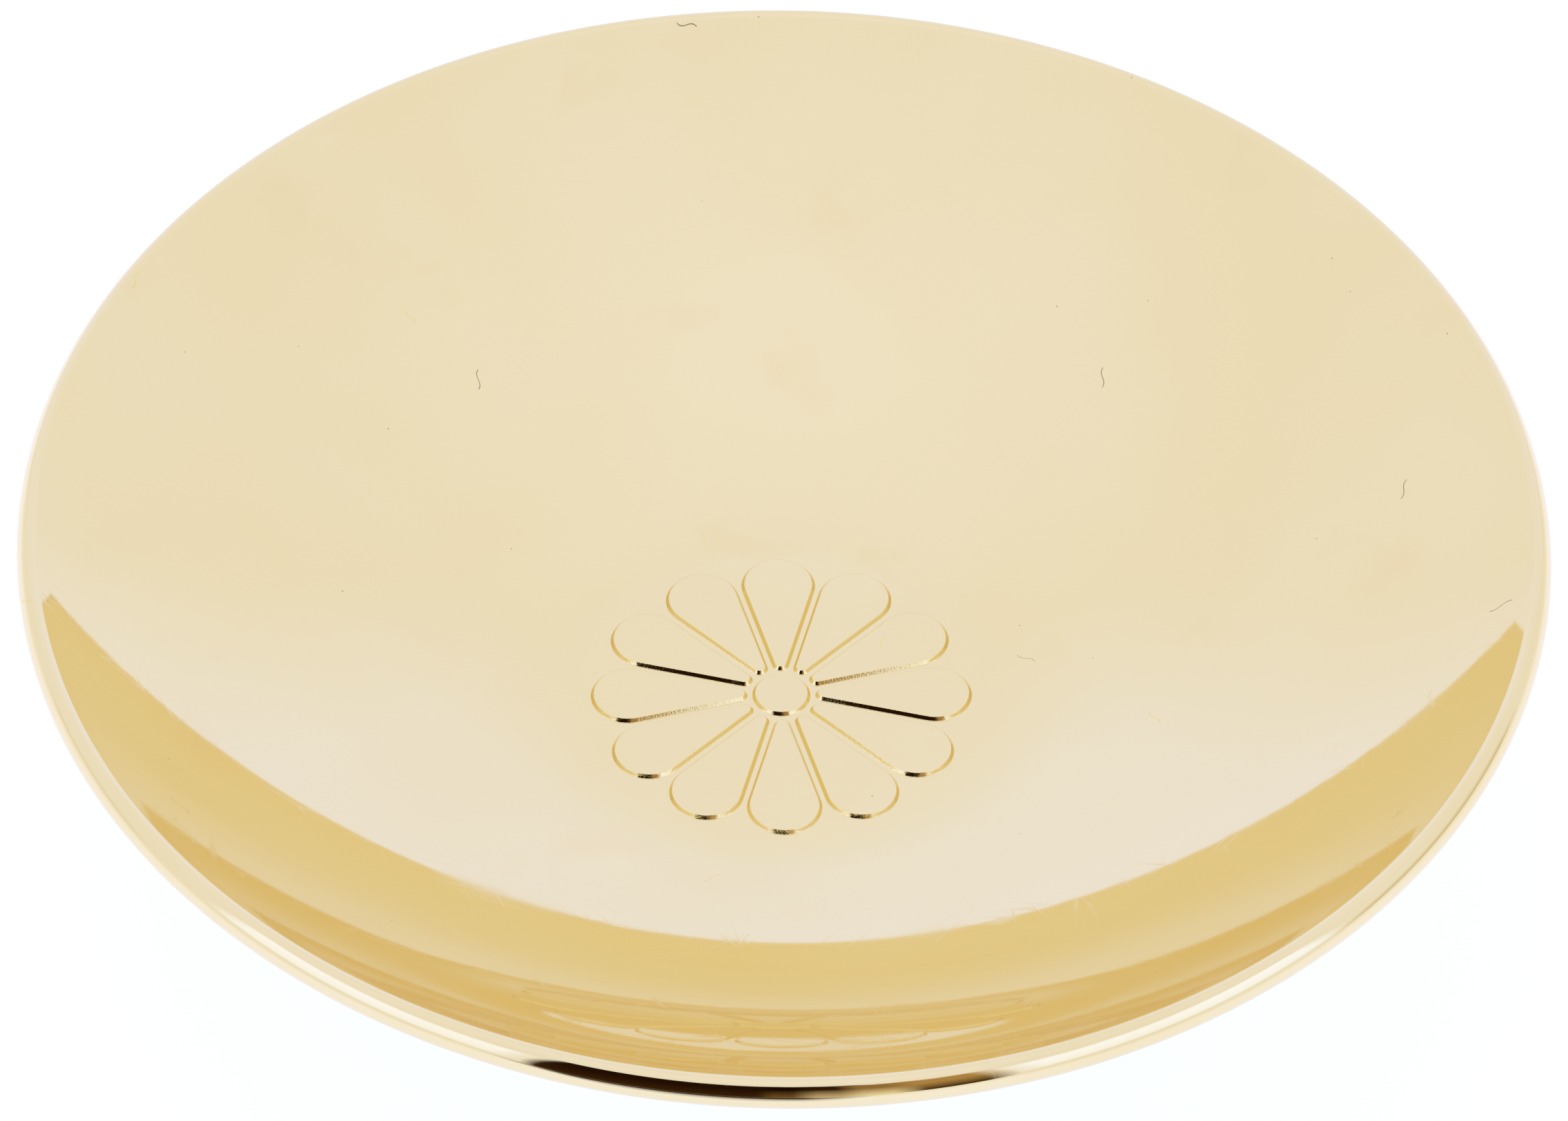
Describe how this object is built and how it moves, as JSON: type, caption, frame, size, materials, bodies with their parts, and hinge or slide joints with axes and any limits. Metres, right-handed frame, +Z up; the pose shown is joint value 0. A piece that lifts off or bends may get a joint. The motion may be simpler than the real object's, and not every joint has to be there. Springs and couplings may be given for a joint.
{
  "type": "offering plate",
  "caption": "Small shallow footed metal dish with a curved wall, a rolled round edge, and a petalled rosette struck in its floor.",
  "frame": {"origin": "centre of the circle that the foot ring stands on", "axes": "+Z up along the dish's axis; +X and +Y are square to it"},
  "size_m": [0.0908, 0.0908, 0.023],
  "materials": {
    "gilt_bowl": "mirror polished and gilt",
    "core_wire": "drawn, dull",
    "gilt_foot": "polished and gilt",
    "solder": "satin, gilt over solder"
  },
  "bodies": {
    "root": {"dish": "gilt_bowl", "rim_wire": "core_wire", "foot_ring": "gilt_foot", "foot_solder": "solder"}
  },
  "joints": []
}
